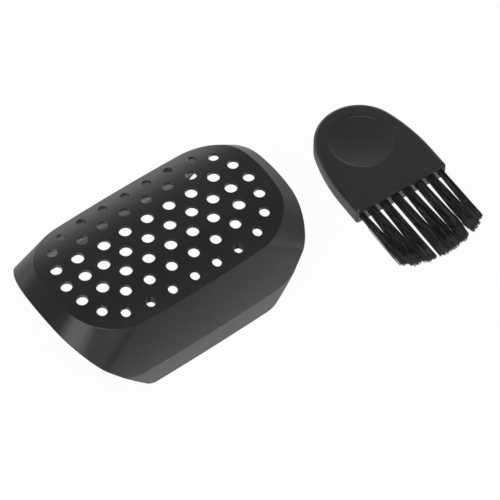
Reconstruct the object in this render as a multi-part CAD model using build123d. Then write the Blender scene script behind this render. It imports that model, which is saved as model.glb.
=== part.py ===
from build123d import *
import os
from math import asin, atan2, ceil, cos, degrees, hypot, radians, sin, sqrt, tan

# Accessory set of a foil shaver: the perforated cap that clips over the shaver's head, lying
# open side down, and the small cleaning brush lying flat beside it.
# Millimetres and degrees. +Z is up, +X runs along the cap, and both pieces stand on Z = 0.

os.makedirs("parts", exist_ok=True)

# Cap: outer form
wall = 0.8                    # moulded wall of panel and facets
cap_height = 18.85            # from the rim to the level band of the panel
crown_half_width = 3.5        # level band along the middle of the panel
shoulder_radius = 22.4        # fall of the panel on each side of that band
tip_half_length = 27.1        # from the middle to the tip of each open end
tip_height = 16.0             # height of that tip above the rim
end_cut_angle = 51.0          # slope of the two end cuts
end_cut_bulge = 0.25          # how far each cut bulges out between rim and tip
end_cut_fillet = 3.0          # where an end cut turns into the rim

# Cap: the facet all round the panel, a ruled surface between two outlines. A quarter of an
# outline is half a side arc, a wide and a tight corner arc and half an end arc
facet_rise = 0.15             # how far the top outline is drawn above the level band
facet_top = dict(half_length=23.94, half_width=13.1, side_corner=17.9, end_corner=7.4)
facet_rim = dict(half_length=43.35, half_width=17.41, side_corner=3.0, end_corner=18.1)
side_turn = 2.14              # degrees that half a side arc turns
side_corner_turn = 34.5       # the corner arc next to it
end_turn = 10.0               # half an end arc
crease_fillet = 0.25          # along the crease round the panel

# Cap: the near upright skirt that cuts the facet off; they meet in a crease that sweeps up
# towards both ends, because the skirt curves in there more than the facet does
skirt_half_width = 16.58      # at the rim
skirt_side_radius = 700.0     # of the long sides
skirt_side_half = 15.0        # half length of that arc
skirt_corner_radius = 37.0    # of the arcs beyond it
skirt_draft = 3.0
lead_in_land = 0.35           # rim left outside the bevel on its inner edge
lead_in_angle = 28.0          # of that bevel from the upright
lead_in_height = 1.2          # over which it is cut, a little past the inner side

# Cap: perforation
hole_pitch = 5.0              # along a row
row_pitch = 3.74              # from row to row, each offset by half a pitch
row_count = 3                 # rows on each side of the middle row
grid_half = 1.6               # pitches either side of the middle that keep the plain grid
# hole diameters, largest first, each with the least distance of its middle from the crease
hole_sizes = [(2.45, 6.5), (2.24, 3.0), (2.05, 2.35), (1.88, 1.25)]
# holes that bend round each end, as pitches in from the end of the facet's top outline and rows
# from the middle; the last one is the hole that a boss surrounds
end_holes = [(2.3, 0), (1.47, 0), (0.64, 0), (2.8, 0.94), (1.69, 1.07), (0.76, 1.11),
             (2.3, 1.86), (1.1, 2.13), (1.8, 2.78), (2.8, 2.98)]

# Cap: inside
boss_diameter = 4.2           # four bosses that meet the shaver's head
boss_depth = 0.8              # below the panel's inner side
bead_length = 12.0            # clip bead inside each long wall
bead_radius = 0.35
bead_height = 2.2             # of its middle above the rim

# Brush: handle
handle_length = 23.45         # from the bristle edge to the round end
handle_half_width = 10.68
handle_straight = 5.25        # parallel stretch next to the bristle edge
handle_end_radius = 9.25
handle_thickness = 3.8
handle_corner_radius = 0.5
handle_top_fillet = 0.8
handle_bottom_fillet = 0.35
dish_diameter = 13.3          # shallow thumb dish
dish_depth = 0.6
dish_from_edge = 14.5         # its middle, from the bristle edge

# Brush: bristles, from the widest tuft holes in the middle to the slim outermost pair
tuft_count = 8
tuft_pitch = 2.8
tuft_diameter = 2.05
outer_tuft_diameter = 1.4
outer_tuft_offset = 9.4       # of the outermost pair, which sits closer than a full pitch
tuft_clearance = 0.03         # between a tuft and its hole
tuft_hole_depth = 5.0
bristle_length = 16.0         # beyond the edge, in the middle of the brush
bristle_trim_radius = 20.0    # the tips are trimmed to this arc
tuft_flare = 1.24             # width of a tuft at the trim, as a share of its diameter
anchor_thickness = 0.3        # flat wire that holds the folded bristles in the hole
anchor_depth = 1.3
anchor_clearance = 0.05

# Placing of the brush beside the cap
brush_along = 49.7            # middle of the bristle edge from the middle of the cap
brush_aside = -11.2
brush_turn = -3.3

far = 4 * (tip_half_length + cap_height)   # past every edge of either piece
shoulder_reach = 40.0         # degrees over which a shoulder is drawn, past what is kept of it
skirt_reach = 40.0            # the same for the corner arcs of the skirt


# ------------------------------ cap
def oval(half_length, half_width, side_corner, end_corner):
    """Flat four-sided oval of side, corner and end arcs that run into each other without a kink."""
    headings = [radians(turn) for turn in (side_turn, side_turn + side_corner_turn, 90 - end_turn)]
    side_sin, middle_sin, end_cos = [sin(heading) for heading in headings]
    side_cos, middle_cos, end_sin = [cos(heading) for heading in headings]
    # the arcs of a quarter have to add up to the half length and to the half width
    length = half_length - side_corner * (middle_sin - side_sin) - end_corner * (end_cos - middle_sin)
    width = half_width - side_corner * (side_cos - middle_cos) - end_corner * (middle_cos - end_sin)
    share = side_sin * end_sin - (1 - side_cos) * (1 - end_cos)
    side_radius = (length * end_sin - width * (1 - end_cos)) / share
    end_radius = (width * side_sin - length * (1 - side_cos)) / share
    # middles of the side arc, the two corner arcs and the end arc of a quarter
    side_y = half_width - side_radius
    wide_x = (side_radius - side_corner) * side_sin
    wide_y = side_y + (side_radius - side_corner) * side_cos
    tight_x = wide_x + (side_corner - end_corner) * middle_sin
    tight_y = wide_y + (side_corner - end_corner) * middle_cos
    end_x = half_length - end_radius
    tight_turn = 90 - side_turn - side_corner_turn - end_turn
    arcs = []
    for half in (1, -1):
        start = 90 - 90 * half
        up = start + 90
        tight, wide = (half * tight_x, half * tight_y), (half * wide_x, half * wide_y)
        back_tight, back_wide = (-tight[0], tight[1]), (-wide[0], wide[1])
        arcs.append(CenterArc((half * end_x, 0), end_radius, start - end_turn, 2 * end_turn))
        arcs.append(CenterArc(tight, end_corner, start + end_turn, tight_turn))
        arcs.append(CenterArc(wide, side_corner, up - side_turn - side_corner_turn, side_corner_turn))
        arcs.append(CenterArc((0, half * side_y), side_radius, up - side_turn, 2 * side_turn))
        arcs.append(CenterArc(back_wide, side_corner, up + side_turn, side_corner_turn))
        arcs.append(CenterArc(back_tight, end_corner, up + side_turn + side_corner_turn, tight_turn))
    return make_face(Wire(arcs))


def shrunk(outline, length, width):
    """The measures of an outline taken in by length at its ends and by width at its sides."""
    corner = (length + width) / 2
    return dict(half_length=outline["half_length"] - length, half_width=outline["half_width"] - width,
                side_corner=outline["side_corner"] - corner, end_corner=outline["end_corner"] - corner)


def facet_solid(inset):
    """The facet all round the panel, from its outline at the rim to its top outline."""
    rise = cap_height + facet_rise
    run_length = facet_rim["half_length"] - facet_top["half_length"]
    run_width = facet_rim["half_width"] - facet_top["half_width"]
    inset_length = inset * hypot(run_length, rise) / rise
    inset_width = inset * hypot(run_width, rise) / rise
    top = oval(**shrunk(facet_top, inset_length, inset_width))
    rim = oval(**shrunk(facet_rim, inset_length, inset_width))
    return loft([rim, Pos(0, 0, rise) * top], ruled=True)


def arch_solid(inset):
    """Everything below the panel: a level band with a round shoulder on each side."""
    radius = shoulder_radius - inset
    crown = cap_height - inset
    right = CenterArc((crown_half_width, crown - radius), radius, 90, -shoulder_reach)
    left = CenterArc((-crown_half_width, crown - radius), radius, 90, shoulder_reach)
    foot = [(end.X, end.Y - far) for end in (left @ 1, right @ 1)]
    profile = Line(left @ 0, right @ 0) + right + left + Polyline(left @ 1, *foot, right @ 1)
    return extrude(Plane.YZ * make_face(profile), far, both=True)


def panel_drop(y):
    """How far the panel has fallen below its level band at y."""
    over = max(abs(y) - crown_half_width, 0)
    return shoulder_radius - sqrt(shoulder_radius ** 2 - over ** 2)


def skirt_plan(inset):
    """Flat outline of the skirt, taken in by inset: long side arcs and tighter arcs beyond them."""
    side_radius = skirt_side_radius - inset
    turn = degrees(asin(skirt_side_half / skirt_side_radius))
    to_corner = skirt_side_radius - skirt_corner_radius
    arcs = []
    for half in (1, -1):
        up = 90 * half
        side_y = half * (skirt_half_width - skirt_side_radius)
        corner_x = half * to_corner * sin(radians(turn))
        corner_y = side_y + half * to_corner * cos(radians(turn))
        corner_radius = skirt_corner_radius - inset
        arcs.append(CenterArc((-corner_x, corner_y), corner_radius, up + turn + skirt_reach, -skirt_reach))
        arcs.append(CenterArc((0, side_y), side_radius, up + turn, -2 * turn))
        arcs.append(CenterArc((corner_x, corner_y), corner_radius, up - turn, -skirt_reach))
    near, far_side = arcs[:3], arcs[3:]
    ends = [Line(near[2] @ 1, far_side[0] @ 0), Line(far_side[2] @ 1, near[0] @ 0)]
    return make_face(Wire(near + ends[:1] + far_side + ends[1:]))


def skirt_solid(inset, height, draft):
    """Standing on the rim, everything between the two sides of the skirt."""
    top = skirt_plan(inset + height * tan(radians(draft)))
    return loft([skirt_plan(inset), Pos(0, 0, height) * top], ruled=True)


def end_cuts():
    """What the two slanting end cuts leave: flat rim below, open tips at both ends."""
    angle = radians(end_cut_angle)
    rim_half = tip_half_length - tip_height / tan(angle)
    middle_x = (rim_half + tip_half_length) / 2 + end_cut_bulge * sin(angle)
    middle_z = tip_height / 2 - end_cut_bulge * cos(angle)
    rim, tip = (rim_half, 0), (tip_half_length, tip_height)
    back_rim, back_tip = (-rim_half, 0), (-tip_half_length, tip_height)
    cut = ThreePointArc(rim, (middle_x, middle_z), tip)
    back_cut = ThreePointArc(back_rim, (-middle_x, middle_z), back_tip)
    above = Polyline(tip, (far, far), (-far, far), back_tip)
    profile = make_face(cut + back_cut + above + Line(back_rim, rim))
    corners = profile.vertices().sort_by(Axis.Y)[:2]
    return extrude(Plane.XZ * fillet(corners, end_cut_fillet), far, both=True)


def end_hole(pitches, rows):
    """Centres of one end hole and its mirror images in the other quarters of the panel."""
    x = facet_top["half_length"] - pitches * hole_pitch
    y = rows * row_pitch
    return [(end * x, side * y) for end in (1, -1) for side in ((1, -1) if rows else (1,))]


def holes():
    """Middle and diameter of each hole: the plain grid and the holes that bend round its ends."""
    centres = []
    reach = ceil(grid_half)
    for row in range(-row_count, row_count + 1):
        offset = 0.5 if row % 2 == 0 else 0.0
        columns = [step + offset for step in range(-reach - 1, reach + 1)]
        centres += [(c * hole_pitch, row * row_pitch) for c in columns if abs(c) <= grid_half]
    for pitches, rows in end_holes:
        centres += end_hole(pitches, rows)
    found = {}
    for diameter, least in hole_sizes:
        panel = oval(**shrunk(facet_top, least, least)).face()
        for x, y in centres:
            if (x, y) not in found and panel.is_inside(Vector(x, y, 0)):
                found[(x, y)] = diameter
    return found


def upright(x, y, foot, diameter):
    """A round bar standing on foot and passing through everything above it."""
    bar = Cylinder(diameter / 2, far, align=(Align.CENTER, Align.CENTER, Align.MIN))
    return Pos(x, y, foot) * bar


def make_cap():
    shell = facet_solid(0) & arch_solid(0)
    panel = [face for face in shell.faces() if face.center().Z > tip_height]
    crease = [edge for face in panel for edge in face.edges() if edge.geom_type == GeomType.BSPLINE]
    shell = fillet(crease, crease_fillet) & skirt_solid(0, cap_height, skirt_draft) & end_cuts()
    cavity = facet_solid(wall) & arch_solid(wall) & skirt_solid(wall, cap_height, skirt_draft)
    cavity += skirt_solid(lead_in_land, lead_in_height, lead_in_angle)
    for x, y in end_hole(*end_holes[-1]):
        foot = cap_height - wall - panel_drop(y) - boss_depth
        cavity -= upright(x, y, foot, boss_diameter)
    cap = shell - cavity
    for (x, y), diameter in holes().items():
        cap -= upright(x, y, cap_height / 2, diameter)
    inner_face = skirt_half_width - wall - bead_height * tan(radians(skirt_draft))
    for side in (1, -1):
        bead = Rot(0, 90, 0) * Cylinder(bead_radius, bead_length - 2 * bead_radius)
        ends = [Pos(end * (bead_length / 2 - bead_radius), 0, 0) * Sphere(bead_radius) for end in (1, -1)]
        cap += Pos(0, side * inner_face, bead_height) * (bead + ends)
    return cap


# ------------------------------ brush, drawn with its bristle edge on Y = 0
def handle_outline():
    """Straight bristle edge, parallel sides, long side arcs and a round end, all tangent."""
    end_y = handle_length - handle_end_radius
    rise = end_y - handle_straight
    side_radius = (rise ** 2 + handle_half_width ** 2 - handle_end_radius ** 2) / (
        2 * (handle_half_width - handle_end_radius))
    turn = degrees(atan2(rise, side_radius - handle_half_width))
    centre_x = side_radius - handle_half_width
    right = CenterArc((-centre_x, handle_straight), side_radius, 0, turn)
    left = CenterArc((centre_x, handle_straight), side_radius, 180, -turn)
    end = CenterArc((0, end_y), handle_end_radius, turn, 180 - 2 * turn)
    base = Polyline(left @ 0, (-handle_half_width, 0), (handle_half_width, 0), right @ 0)
    return make_face(base + right + end + left)


def tuft_places():
    """Middle and diameter of each tuft along the bristle edge."""
    places = []
    for index in range(tuft_count):
        step = index - (tuft_count - 1) / 2
        outermost = index in (0, tuft_count - 1)
        x = outer_tuft_offset * (1 if step > 0 else -1) if outermost else step * tuft_pitch
        places.append((x, outer_tuft_diameter if outermost else tuft_diameter))
    return places


def along_bristles(x, y):
    """A sketch plane across the bristles, facing the tips."""
    return Plane(origin=(x, y, handle_thickness / 2), x_dir=(1, 0, 0), z_dir=(0, -1, 0))


def anchor_block(x, diameter, grow):
    """The flat wire in the hole, or with grow the slot that it lies in."""
    y = tuft_hole_depth - anchor_depth
    height = diameter - 2 * anchor_clearance + 4 * grow
    block = Box(anchor_thickness + 2 * grow, anchor_depth + 2 * grow, height)
    return Pos(x, y, handle_thickness / 2) * block


def make_handle():
    body = extrude(handle_outline(), handle_thickness)
    corners = body.edges().filter_by(Axis.Z).sort_by(Axis.Y)[:2]
    body = fillet(corners, handle_corner_radius)
    body = fillet(body.faces().sort_by(Axis.Z)[-1].edges(), handle_top_fillet)
    body = fillet(body.faces().sort_by(Axis.Z)[0].edges(), handle_bottom_fillet)
    dish_radius = ((dish_diameter / 2) ** 2 + dish_depth ** 2) / (2 * dish_depth)
    body -= Pos(0, dish_from_edge, handle_thickness - dish_depth + dish_radius) * Sphere(dish_radius)
    for x, diameter in tuft_places():
        body -= extrude(along_bristles(x, tuft_hole_depth) * Circle(diameter / 2), 2 * tuft_hole_depth)
    return body


def make_tuft(x, diameter):
    """Bristles folded round their anchor, filling the hole, then flaring to the trimmed tips."""
    radius = diameter / 2 - tuft_clearance
    root = extrude(along_bristles(x, tuft_hole_depth) * Circle(radius), tuft_hole_depth)
    tips = along_bristles(x, -bristle_length) * Circle(radius * tuft_flare)
    free = loft([along_bristles(x, 0) * Circle(radius), tips])
    trim_middle = Pos(0, bristle_trim_radius - bristle_length)
    trim = extrude(trim_middle * Circle(bristle_trim_radius), handle_thickness)
    return (root + free) & trim - anchor_block(x, diameter, anchor_clearance)


def make_brush():
    pieces = {"brush_handle": make_handle()}
    for index, (x, diameter) in enumerate(tuft_places(), start=1):
        pieces[f"bristle_tuft_{index}"] = make_tuft(x, diameter)
        pieces[f"tuft_anchor_{index}"] = anchor_block(x, diameter, 0)
    place = Location((brush_along, brush_aside, 0), (0, 0, brush_turn))
    return {name: place * piece for name, piece in pieces.items()}


# ------------------------------ the set, centred on the origin
pieces = {"protective_cap": make_cap(), **make_brush()}
boxes = [piece.bounding_box() for piece in pieces.values()]
middle_x = (min(box.min.X for box in boxes) + max(box.max.X for box in boxes)) / 2
middle_y = (min(box.min.Y for box in boxes) + max(box.max.Y for box in boxes)) / 2
for name, piece in pieces.items():
    export_step(Pos(-middle_x, -middle_y, 0) * piece, f"parts/{name}.step")
print(len(pieces), "nodes and", len(holes()), "holes")
print("middle of the set from the middle of the cap", middle_x, middle_y)
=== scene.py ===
from math import cos, pi, radians, sin, sqrt
from random import Random

import bpy
from mathutils import Matrix, Vector


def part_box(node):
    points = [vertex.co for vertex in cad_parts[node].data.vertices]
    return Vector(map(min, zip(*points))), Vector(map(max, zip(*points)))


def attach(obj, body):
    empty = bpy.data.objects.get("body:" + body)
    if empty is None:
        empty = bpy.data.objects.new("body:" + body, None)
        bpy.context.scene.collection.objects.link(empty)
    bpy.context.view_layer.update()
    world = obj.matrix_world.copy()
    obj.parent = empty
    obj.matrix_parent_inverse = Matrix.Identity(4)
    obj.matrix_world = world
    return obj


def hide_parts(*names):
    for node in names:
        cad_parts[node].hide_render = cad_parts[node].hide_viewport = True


# Perforated shaver cap and its cleaning brush. Metres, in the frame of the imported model.

mm = 0.001

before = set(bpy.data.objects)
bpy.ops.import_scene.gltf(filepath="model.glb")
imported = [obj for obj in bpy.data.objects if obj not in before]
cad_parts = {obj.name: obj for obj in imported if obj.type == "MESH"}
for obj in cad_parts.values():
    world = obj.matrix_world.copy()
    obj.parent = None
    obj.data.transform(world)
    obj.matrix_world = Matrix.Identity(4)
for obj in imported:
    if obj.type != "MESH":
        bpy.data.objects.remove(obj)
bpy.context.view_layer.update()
print("frame loaded", len(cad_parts), "nodes")


def newMaterial(name):
    material = bpy.data.materials.new(name)
    material.use_nodes = True
    tree = material.node_tree
    shader = tree.nodes["Principled BSDF"]
    return material, tree, shader


def addNode(tree, kind, inputs=None, **settings):
    node = tree.nodes.new(kind)
    for key, value in settings.items():
        setattr(node, key, value)
    for key, value in (inputs or {}).items():
        node.inputs[key].default_value = value
    return node


def noiseOn(tree, vector, featureSize, detail):  # featureSize in metres
    noise = addNode(tree, "ShaderNodeTexNoise", {"Scale": 1 / featureSize, "Detail": detail})
    tree.links.new(vector, noise.inputs["Vector"])
    return noise.outputs["Fac"]


def spread(tree, noise, low, high):  # most of a noise lies between these two levels
    noiseLow, noiseHigh = 0.3, 0.7
    ranger = addNode(tree, "ShaderNodeMapRange",
                     {"From Min": noiseLow, "From Max": noiseHigh, "To Min": low, "To Max": high})
    tree.links.new(noise, ranger.inputs["Value"])
    return ranger.outputs["Result"]


def mixColours(tree, share, dark, light):
    mixer = addNode(tree, "ShaderNodeMix", data_type="RGBA")
    mixer.inputs[6].default_value = (*dark, 1)
    mixer.inputs[7].default_value = (*light, 1)
    tree.links.new(share, mixer.inputs[0])
    return mixer.outputs[2]


def combine(tree, operation, first, second=None):  # a maths node on sockets or numbers
    node = addNode(tree, "ShaderNodeMath", operation=operation)
    for index, value in enumerate((first, second)):
        if isinstance(value, (int, float)):
            node.inputs[index].default_value = value
        elif value is not None:
            tree.links.new(value, node.inputs[index])
    return node.outputs[0]


def fade(tree, value, fromValue, toValue, first, last):  # smooth change between two values
    ranger = addNode(tree, "ShaderNodeMapRange",
                     {"From Min": fromValue, "From Max": toValue, "To Min": first, "To Max": last})
    ranger.interpolation_type = "SMOOTHSTEP"
    tree.links.new(value, ranger.inputs["Value"])
    return ranger.outputs["Result"]


def vectorStep(tree, operation, vector, other=None):  # a vector maths node, other is fixed
    node = addNode(tree, "ShaderNodeVectorMath", operation=operation)
    tree.links.new(vector, node.inputs[0])
    if other is not None:
        node.inputs[1].default_value = other
    return node.outputs["Value" if operation in ("LENGTH", "DOT_PRODUCT") else "Vector"]


def splitAxes(tree, vector):
    split = addNode(tree, "ShaderNodeSeparateXYZ")
    tree.links.new(vector, split.inputs[0])
    return split.outputs["X"], split.outputs["Y"], split.outputs["Z"]


capPlastic = {
    "dark": (0.0170, 0.0172, 0.0175),
    "light": (0.0220, 0.0222, 0.0225),
    "roughness": (0.27, 0.36),
    "specular": 0.8,
    "grainSize": 0.22 * mm,
    "grainDepth": 0.010 * mm,
    "flowSize": 9 * mm,
    "frostedAndLitBand": {  # the upright band above the rim: a frosted finish whose paler colour is partly painted light, the white table it mirrors
        "height": 6.5 * mm,
        "steepest": (0.10, 0.17),  # upward part of its normal
        "dark": (0.044, 0.0442, 0.0445),
        "light": (0.088, 0.0882, 0.0885),
        "speckSize": 0.32 * mm,
        "roughness": 0.34,
    },
}
handlePlastic = {
    "dark": (0.024, 0.0242, 0.0245),
    "light": (0.029, 0.0292, 0.0295),
    "roughness": (0.34, 0.42),
    "specular": 0.8,
    "grainSize": 0.25 * mm,
    "grainDepth": 0.006 * mm,
    "flowSize": 6 * mm,
    # the crisp edge round the thumb dish, its middle measured back from the brush's datum
    "rim": {"fromDatum": 14.5 * mm, "radius": 6.45 * mm, "width": 0.28 * mm, "depth": 0.05 * mm},
}


def frostAndLightShare(tree, place, look):  # 1 on the upright frosted band, whose paler colour partly paints the table's mirrored light, 0 elsewhere
    level = splitAxes(tree, place)[2]
    normal = addNode(tree, "ShaderNodeNewGeometry").outputs["True Normal"]
    steepness = combine(tree, "ABSOLUTE", splitAxes(tree, normal)[2])
    steep = fade(tree, steepness, *look["steepest"], 1, 0)
    return combine(tree, "MULTIPLY", steep, combine(tree, "LESS_THAN", level, look["height"]))


def rimHeight(tree, place, rim):
    offset = vectorStep(tree, "SUBTRACT", place, brushDatum - outward * rim["fromDatum"])
    distance = vectorStep(tree, "LENGTH", vectorStep(tree, "MULTIPLY", offset, (1, 1, 0)))
    return fade(tree, distance, rim["radius"] - rim["width"], rim["radius"], 0.0, rim["depth"])


def addFrostAndPaintedLight(tree, place, colour, roughness, look):  # the band's frosted finish and its painted mirrored light, over the rest
    share = frostAndLightShare(tree, place, look)
    specks = noiseOn(tree, place, look["speckSize"], 2)
    # the band's pale colour is part frosting, part painted light from the white table it mirrors
    pale = mixColours(tree, spread(tree, specks, 0, 1), look["dark"], look["light"])
    colours = addNode(tree, "ShaderNodeMix", data_type="RGBA")
    tree.links.new(share, colours.inputs[0])
    tree.links.new(colour, colours.inputs[6])
    tree.links.new(pale, colours.inputs[7])
    values = addNode(tree, "ShaderNodeMix", {3: look["roughness"]}, data_type="FLOAT")
    tree.links.new(share, values.inputs[0])
    tree.links.new(roughness, values.inputs[2])
    return colours.outputs[2], values.outputs[0]


def mouldedPlastic(name, look):
    material, tree, shader = newMaterial(name)
    place = addNode(tree, "ShaderNodeTexCoord").outputs["Object"]
    grain = noiseOn(tree, place, look["grainSize"], 2)
    flow = noiseOn(tree, place, look["flowSize"], 3)  # slow drift of tone across the moulding
    colour = mixColours(tree, spread(tree, flow, 0, 1), look["dark"], look["light"])
    roughness = spread(tree, grain, *look["roughness"])
    if "frostedAndLitBand" in look:
        colour, roughness = addFrostAndPaintedLight(tree, place, colour, roughness, look["frostedAndLitBand"])
    tree.links.new(colour, shader.inputs["Base Color"])
    tree.links.new(roughness, shader.inputs["Roughness"])
    height = combine(tree, "MULTIPLY", grain, look["grainDepth"])
    if "rim" in look:
        height = combine(tree, "ADD", height, rimHeight(tree, place, look["rim"]))
    bump = addNode(tree, "ShaderNodeBump", {"Distance": 1.0, "Strength": 1.0})
    tree.links.new(height, bump.inputs["Height"])
    tree.links.new(bump.outputs["Normal"], shader.inputs["Normal"])
    shader.inputs["Specular IOR Level"].default_value = look["specular"]
    return material


# the light streaks in the nylon's colour are painted sheen along the filaments
nylonLook = {
    "dark": (0.004, 0.004, 0.004),
    "light": (0.130, 0.130, 0.130),
    "darkening": 2.6,  # higher leaves fewer light streaks, which are painted sheen along the filaments
    "roughness": (0.28, 0.42),
    "streakWidth": 0.17 * mm,
    "streakLength": 14 * mm,
}
wireLook = {
    "dark": (0.52, 0.41, 0.20),
    "light": (0.72, 0.60, 0.36),
    "roughness": (0.25, 0.40),
    "drawSize": 0.2 * mm,
}


def blackNylon(name, look, turn):  # turn is the angle from across the brush to the x axis
    material, tree, shader = newMaterial(name)
    place = addNode(tree, "ShaderNodeTexCoord").outputs["Object"]
    stretch = (1, look["streakWidth"] / look["streakLength"], 1)
    along = addNode(tree, "ShaderNodeMapping", {"Rotation": (0, 0, -turn), "Scale": stretch})
    tree.links.new(place, along.inputs["Vector"])
    # light streaks in the colour: painted sheen running along the filaments
    sheenStreak = noiseOn(tree, along.outputs["Vector"], look["streakWidth"], 2)
    share = combine(tree, "POWER", spread(tree, sheenStreak, 0, 1), look["darkening"])
    colour = mixColours(tree, share, look["dark"], look["light"])
    tree.links.new(colour, shader.inputs["Base Color"])
    tree.links.new(spread(tree, sheenStreak, *look["roughness"]), shader.inputs["Roughness"])
    return material


def anchorWire(name, look):
    material, tree, shader = newMaterial(name)
    place = addNode(tree, "ShaderNodeTexCoord").outputs["Object"]
    drawn = noiseOn(tree, place, look["drawSize"], 3)
    colour = mixColours(tree, drawn, look["dark"], look["light"])
    tree.links.new(colour, shader.inputs["Base Color"])
    tree.links.new(spread(tree, drawn, *look["roughness"]), shader.inputs["Roughness"])
    shader.inputs["Metallic"].default_value = 1.0
    return material


def finishNode(name, material):
    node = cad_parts[name]
    node.data.materials.clear()
    node.data.materials.append(material)


# the brush lies where its anchors are, and the lengths here run out from its datum, a point
# between the middle tufts and 0.65 mm outside the handle's bristle edge
tufts = {
    "count": 8,
    "holeRadius": 1.0 * mm,
    "outerHoleRadius": 0.68 * mm,
    "anchorToDatum": 4.35 * mm,  # outwards from the middle of the anchors
    "startInside": 2.2 * mm,  # how far behind the datum a filament starts, in its hole
    "length": 15.5 * mm,
    "trimRadius": 20.0 * mm,
    "trimAside": -0.7 * mm,  # middle of the trimmed arc, from the middle of the brush
    "filaments": 150,
    "outerFilaments": 70,
    "filamentRadius": 0.07 * mm,
    "sides": 5,
    "steps": 8,
    "raggedness": 0.45 * mm,
    "sway": 0.10 * mm,
    "puff": 0.1,  # how much thicker a tuft is at its tips, of its thickness
    "overlap": 0.30 * mm,  # how far filaments cross the middle of a gap that has closed
    # how far out neighbouring tufts close each gap, from left to right, 0 where they don't
    "gapClose": [5.2 * mm, 8.9 * mm, 0, 9.4 * mm, 17.0 * mm, 12.8 * mm, 7.7 * mm],
    "openNarrowing": 0.35,  # how much of an open gap its two tufts take up
    "reopeningGap": 5,  # this one parts again towards the tips
    "reopenFrom": 11.6 * mm,
    "reopenWidth": 0.9 * mm,
    "seed": 11,
}
strays = {
    "count": 3,
    "inside": 0.2 * mm,  # where they leave the tuft, from its outer side
    "bow": 0.30 * mm,
    "bowRange": (0.7, 1.3),
    "bowedFrom": 3.0 * mm,
    "lengthRange": (0.86, 0.97),
    "riseRange": (-0.5, 0.3),  # in mm
    "radius": 0.03 * mm,
    "sides": 4,
    "seed": 5,
}


def boxMiddle(name):
    low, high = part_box(name)
    return (low + high) / 2


anchors = [boxMiddle(f"tuft_anchor_{index}") for index in range(1, tufts["count"] + 1)]
across = (anchors[-1] - anchors[0]).normalized()
outward = Vector((across.y, -across.x, 0))  # the way the bristles point
upward = Vector((0, 0, 1))
brushTurn = across.to_2d().angle_signed(Vector((1, 0)))
brushDatum = (anchors[0] + anchors[-1]) / 2 + outward * tufts["anchorToDatum"]


def addTube(vertices, faces, points, radius, sides):
    first = len(vertices)
    for x, y, z in points:
        middle = brushDatum + across * x + outward * y + upward * z
        for side in range(sides):
            angle = 2 * pi * side / sides
            vertices.append(middle + (across * cos(angle) + upward * sin(angle)) * radius)
    for ring in range(len(points) - 1):
        for side in range(sides):
            a = first + ring * sides + side
            b = first + ring * sides + (side + 1) % sides
            faces.append((a, b, b + sides, a + sides))
    last = first + (len(points) - 1) * sides
    faces.append(tuple(first + side for side in reversed(range(sides))))
    faces.append(tuple(last + side for side in range(sides)))


def lengthAt(offset):  # the tips are trimmed to an arc
    radius = tufts["trimRadius"]
    aside = offset - tufts["trimAside"]
    return tufts["length"] - radius + sqrt(radius ** 2 - aside ** 2)


def sideLean(index, offsets, radii, side):
    # how far a tuft's outermost filaments lean on one side, and how far out they stop leaning
    other = index + side
    if other < 0 or other >= len(offsets):
        return 0.0, tufts["length"], 0.0
    gap = min(index, other)
    free = abs(offsets[other] - offsets[index]) - radii[index] - radii[other]
    closeAt = tufts["gapClose"][gap]
    reopen = tufts["reopenWidth"] if gap == tufts["reopeningGap"] else 0.0
    if not closeAt:
        return free / 2 * tufts["openNarrowing"], tufts["length"], reopen
    lean = free / 2 + tufts["overlap"]
    return lean, closeAt * lean / (free / 2), reopen


def filamentPath(random, offset, u, v, lean, length):
    # points along one filament, starting inside its hole
    most, closeAt, reopen = lean
    swayAcross = random.gauss(0, tufts["sway"])
    swayUp = random.gauss(0, tufts["sway"])
    points = []
    for step in range(tufts["steps"]):
        far = (length + tufts["startInside"]) * step / (tufts["steps"] - 1) - tufts["startInside"]
        out = max(far, 0) / tufts["length"]
        back = max(far - tufts["reopenFrom"], 0) / (tufts["length"] - tufts["reopenFrom"])
        scale = 1 + most * min(max(far, 0) / closeAt, 1) - reopen * back
        height = v * (1 + tufts["puff"] * out) + swayUp * out ** 2
        points.append((offset + u * scale + swayAcross * out ** 2, far, height))
    return points


def makeTuft(index, offsets, radii, random):
    vertices, faces = [], []
    radius = radii[index] - tufts["filamentRadius"]
    outer = index in (0, len(offsets) - 1)
    count = tufts["outerFilaments"] if outer else tufts["filaments"]
    golden = pi * (3 - sqrt(5))
    for number in range(count):
        reach = radius * sqrt((number + 0.5) / count)
        u = reach * cos(number * golden)
        v = reach * sin(number * golden)
        most, closeAt, reopen = sideLean(index, offsets, radii, 1 if u > 0 else -1)
        lean = most / radius, closeAt, reopen / radius
        length = lengthAt(offsets[index] + u) - abs(random.gauss(0, tufts["raggedness"]))
        path = filamentPath(random, offsets[index], u, v, lean, length)
        addTube(vertices, faces, path, tufts["filamentRadius"], tufts["sides"])
    if index == 0:
        addStrays(vertices, faces, offsets[0] - radii[0])
    mesh = bpy.data.meshes.new(f"bristles_{index + 1}")
    mesh.from_pydata(vertices, [], faces)
    for polygon in mesh.polygons:
        polygon.use_smooth = len(polygon.vertices) == 4
    piece = bpy.data.objects.new(f"bristles_{index + 1}", mesh)
    bpy.context.scene.collection.objects.link(piece)
    return piece


def addStrays(vertices, faces, edge):  # a few thin filaments that stand off the outer tuft
    random = Random(strays["seed"])
    inside = strays["inside"]
    lastStep = 2 * tufts["steps"] - 1
    for number in range(strays["count"]):
        length = lengthAt(edge) * random.uniform(*strays["lengthRange"])
        bow = strays["bow"] * random.uniform(*strays["bowRange"])
        rise = random.uniform(*strays["riseRange"]) * mm
        path = []
        for step in range(lastStep + 1):
            far = length * step / lastStep
            out = min(far / strays["bowedFrom"], 1)
            path.append((edge + inside - (inside + bow) * out ** 2, far, rise * out))
        addTube(vertices, faces, path, strays["radius"], strays["sides"])


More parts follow.
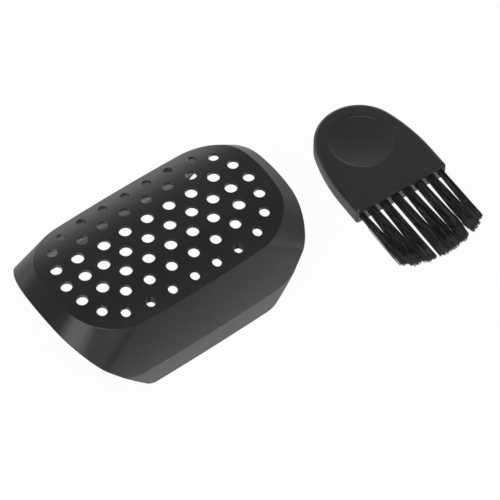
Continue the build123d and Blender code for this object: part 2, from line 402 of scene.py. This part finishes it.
def makeBristles(material):
    offsets = [(anchor - brushDatum).dot(across) for anchor in anchors]
    radii = [tufts["holeRadius"]] * len(offsets)
    radii[0] = radii[-1] = tufts["outerHoleRadius"]
    for index in range(len(offsets)):
        piece = makeTuft(index, offsets, radii, Random(tufts["seed"] + index))
        piece.data.materials.append(material)
        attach(piece, "root")
        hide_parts(f"bristle_tuft_{index + 1}")


# the table glows to mirrors as painted light: how bright the table is where a piece mirrors it
# goes by how far it is from the pieces, brightest right beside them and lighter on one side, with
# painted shade under the cap and round the brush
tableLook = {
    "size": 6.0,
    "drop": 0.02 * mm,  # below the pieces, so that nothing lies in its plane
    "albedo": 0.85,
    "whiteShare": 0.97,  # of plain white in what the camera sees, the rest keeps the shadow
    "nearWhite": 1.0,  # painted light right beside a piece
    "nearCap": 12 * mm,  # how far out that has halved
    "nearBrush": 0.55 * mm,
    "brushOutline": {"halfWidth": 10.68 * mm, "back": 19.75 * mm, "squareness": 2.33},
    "brushShade": 14 * mm,  # width of the darker ground round the brush
    "brushShadeWhite": 0.1,
    "brightSide": 35,  # which way from the cap it is brightest, degrees
    "frontWhite": 0.18,  # farther off, on the other side
    "backWhite": 0.60,
    "sides": (-30 * mm, 40 * mm),  # from one to the other, measured along the bright side
    "distantWhite": 0.55,
    "distant": (45 * mm, 110 * mm),  # where it turns evenly light again
    "underWhite": 0.28,  # in the cap's own shade
    "underFrom": -0.4 * mm,
    "underTo": -6.0 * mm,
}
# soft walls of light round the table. sides and reach say where a wall is at full strength and
# where it has faded out, round the table in degrees and in height as a sine
studio = {
    "fill": 0.10,
    "back": {"azimuth": 72, "sides": (25, 62), "height": 0.0, "reach": (0.08, 0.61),
             "strength": 1.7},
    "sky": {"azimuth": 62, "sides": (50, 90), "height": 0.0, "reach": (0.55, 0.98),
            "strength": 0.25},
    "left": {"azimuth": 202, "sides": (8, 33), "height": 0.38, "reach": (0.06, 0.26),
             "strength": 2.7},
    "front": {"azimuth": 261, "sides": (15, 42), "height": 0.0, "reach": (0.12, 0.36),
              "strength": 0.85},
    "above": {"azimuth": 225, "sides": (35, 65), "height": 0.82, "reach": (0.08, 0.30),
              "strength": 2.6},
}
cameraLook = {
    "aim": Vector((11.813, -12.279, 16.471)) * mm,  # from the table under the cap's middle
    "distance": 464.03 * mm,
    "azimuth": -36.8596,
    "elevation": 54.8343,
    "roll": -0.1145,
    "lens": 180.736,
    "sensor": 36,
    "nearest": 10 * mm,
}


def distanceFromBox(tree, place, name):
    # how far a point on the table is outside a piece's box, and how deep inside it (negative)
    low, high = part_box(name)
    middle, half = (low + high) / 2, (high - low) / 2
    offset = vectorStep(tree, "SUBTRACT", place, (middle.x, middle.y, 0))
    past = vectorStep(tree, "SUBTRACT", vectorStep(tree, "ABSOLUTE", offset), (half.x, half.y, 1))
    outside = vectorStep(tree, "LENGTH", vectorStep(tree, "MAXIMUM", past, (0, 0, 0)))
    return outside, combine(tree, "MAXIMUM", *splitAxes(tree, past)[:2])


def distanceFromBrush(tree, place):
    # how far a point on the table is outside the handle's rounded outline
    outline = tableLook["brushOutline"]
    power = outline["squareness"]
    middle = (anchors[0] + anchors[-1]) / 2
    offset = vectorStep(tree, "SUBTRACT", place, (middle.x, middle.y, 0))
    aside = combine(tree, "ABSOLUTE", vectorStep(tree, "DOT_PRODUCT", offset, across))
    back = combine(tree, "MAXIMUM", vectorStep(tree, "DOT_PRODUCT", offset, -outward), 0.0)
    aside = combine(tree, "POWER", combine(tree, "DIVIDE", aside, outline["halfWidth"]), power)
    back = combine(tree, "POWER", combine(tree, "DIVIDE", back, outline["back"]), power)
    grown = combine(tree, "POWER", combine(tree, "ADD", aside, back), 1 / power)
    past = combine(tree, "MAXIMUM", combine(tree, "SUBTRACT", grown, 1.0), 0.0)
    return combine(tree, "MULTIPLY", past, outline["halfWidth"])


# painted light and shade of the table, as the pieces mirror it
def paintedTableLight(tree, place):
    outsideCap, insideCap = distanceFromBox(tree, place, "protective_cap")
    outsideBrush = distanceFromBrush(tree, place)
    steps = combine(tree, "MINIMUM", combine(tree, "DIVIDE", outsideCap, tableLook["nearCap"]),
                    combine(tree, "DIVIDE", outsideBrush, tableLook["nearBrush"]))
    squared = combine(tree, "MULTIPLY", steps, steps)
    near = combine(tree, "DIVIDE", 1.0, combine(tree, "ADD", 1.0, squared))
    middle = boxMiddle("protective_cap")
    offset = vectorStep(tree, "SUBTRACT", place, (middle.x, middle.y, 0))
    azimuth = radians(tableLook["brightSide"])
    brightWay = vectorStep(tree, "DOT_PRODUCT", offset, (cos(azimuth), sin(azimuth), 0))
    far = fade(tree, brightWay, *tableLook["sides"], tableLook["frontWhite"],
               tableLook["backWhite"])
    distant = fade(tree, outsideCap, *tableLook["distant"], 0.0, tableLook["distantWhite"])
    brushShade = fade(tree, outsideBrush, 0.0, tableLook["brushShade"],
                      tableLook["brushShadeWhite"], 1.0)
    far = combine(tree, "MULTIPLY", combine(tree, "MAXIMUM", far, distant), brushShade)
    extra = combine(tree, "MULTIPLY", near,
                    combine(tree, "SUBTRACT", tableLook["nearWhite"], far))
    capShade = fade(tree, insideCap, tableLook["underTo"], tableLook["underFrom"],
                    tableLook["underWhite"], 1)
    return combine(tree, "MULTIPLY", combine(tree, "ADD", far, extra), capShade)


def makeTable():
    material, tree, shader = newMaterial("table_white")
    tree.nodes.remove(shader)
    path = addNode(tree, "ShaderNodeLightPath")
    place = addNode(tree, "ShaderNodeTexCoord").outputs["Object"]
    paintedMirrorLight = paintedTableLight(tree, place)
    camera, glossy = path.outputs["Is Camera Ray"], path.outputs["Is Glossy Ray"]
    # glossy rays see the table's painted light and shade, the camera sees plain white
    strength = combine(tree, "ADD", camera, combine(tree, "MULTIPLY", glossy, paintedMirrorLight))
    seen = combine(tree, "MAXIMUM", camera, glossy)
    share = combine(tree, "MULTIPLY", seen, tableLook["whiteShare"])
    albedo = tableLook["albedo"]
    diffuse = addNode(tree, "ShaderNodeBsdfDiffuse", {"Color": (albedo, albedo, albedo, 1)})
    glow = addNode(tree, "ShaderNodeEmission", {"Color": (1, 1, 1, 1)})
    tree.links.new(strength, glow.inputs["Strength"])
    mixer = addNode(tree, "ShaderNodeMixShader")
    tree.links.new(share, mixer.inputs[0])
    tree.links.new(diffuse.outputs[0], mixer.inputs[1])
    tree.links.new(glow.outputs[0], mixer.inputs[2])
    tree.links.new(mixer.outputs[0], tree.nodes["Material Output"].inputs["Surface"])
    half = tableLook["size"] / 2
    corners = [(-half, -half, 0), (half, -half, 0), (half, half, 0), (-half, half, 0)]
    mesh = bpy.data.meshes.new("table_top")
    mesh.from_pydata(corners, [], [(0, 1, 2, 3)])
    table = bpy.data.objects.new("table_top", mesh)
    table.location.z = -tableLook["drop"]
    bpy.context.scene.collection.objects.link(table)
    mesh.materials.append(material)


def wallLight(tree, direction, level, wall):
    # direction is flat and of length one, level is the sine of the height
    azimuth = radians(wall["azimuth"])
    full, gone = (cos(radians(angle)) for angle in wall["sides"])
    facing = vectorStep(tree, "DOT_PRODUCT", direction, (cos(azimuth), sin(azimuth), 0))
    sideways = fade(tree, facing, gone, full, 0, wall["strength"])
    away = combine(tree, "ABSOLUTE", combine(tree, "SUBTRACT", level, wall["height"]))
    return combine(tree, "MULTIPLY", sideways, fade(tree, away, *wall["reach"], 1, 0))


def makeStudio():
    world = bpy.data.worlds.new("studio")
    bpy.context.scene.world = world
    world.use_nodes = True
    tree = world.node_tree
    tree.nodes.clear()
    place = addNode(tree, "ShaderNodeTexCoord").outputs["Generated"]
    level = splitAxes(tree, place)[2]
    direction = vectorStep(tree, "NORMALIZE", vectorStep(tree, "MULTIPLY", place, (1, 1, 0)))
    light = studio["fill"]
    for name in ("back", "sky", "left", "front", "above"):
        light = combine(tree, "ADD", wallLight(tree, direction, level, studio[name]), light)
    path = addNode(tree, "ShaderNodeLightPath")
    seen = combine(tree, "MAXIMUM", light, path.outputs["Is Camera Ray"])  # white to the camera
    background = addNode(tree, "ShaderNodeBackground")
    tree.links.new(seen, background.inputs["Strength"])
    output = addNode(tree, "ShaderNodeOutputWorld")
    tree.links.new(background.outputs[0], output.inputs["Surface"])


def makeCamera():
    azimuth, elevation = radians(cameraLook["azimuth"]), radians(cameraLook["elevation"])
    back = Vector((sin(azimuth) * cos(elevation), -cos(azimuth) * cos(elevation), sin(elevation)))
    right = Vector((cos(azimuth), sin(azimuth), 0))
    up = back.cross(right)
    axes = Matrix((right, up, back)).transposed().to_4x4()
    data = bpy.data.cameras.new("camera")
    data.sensor_width = cameraLook["sensor"]
    data.lens = cameraLook["lens"]
    data.clip_start = cameraLook["nearest"]
    camera = bpy.data.objects.new("camera", data)
    capMiddle = boxMiddle("protective_cap")
    aim = Vector((capMiddle.x, capMiddle.y, 0)) + cameraLook["aim"]
    camera.matrix_world = (Matrix.Translation(aim + back * cameraLook["distance"]) @ axes
                           @ Matrix.Rotation(radians(cameraLook["roll"]), 4, "Z"))
    bpy.context.scene.collection.objects.link(camera)
    bpy.context.scene.camera = camera


finishNode("protective_cap", mouldedPlastic("cap_plastic", capPlastic))
finishNode("brush_handle", mouldedPlastic("handle_plastic", handlePlastic))
wire = anchorWire("anchor_wire", wireLook)
for index in range(1, tufts["count"] + 1):
    finishNode(f"tuft_anchor_{index}", wire)
print("plastics and wire done")

makeBristles(blackNylon("black_nylon", nylonLook, brushTurn))
print("bristles done")

makeTable()
makeStudio()
makeCamera()
bpy.context.scene.view_settings.view_transform = "Standard"
print("table, light and camera done")
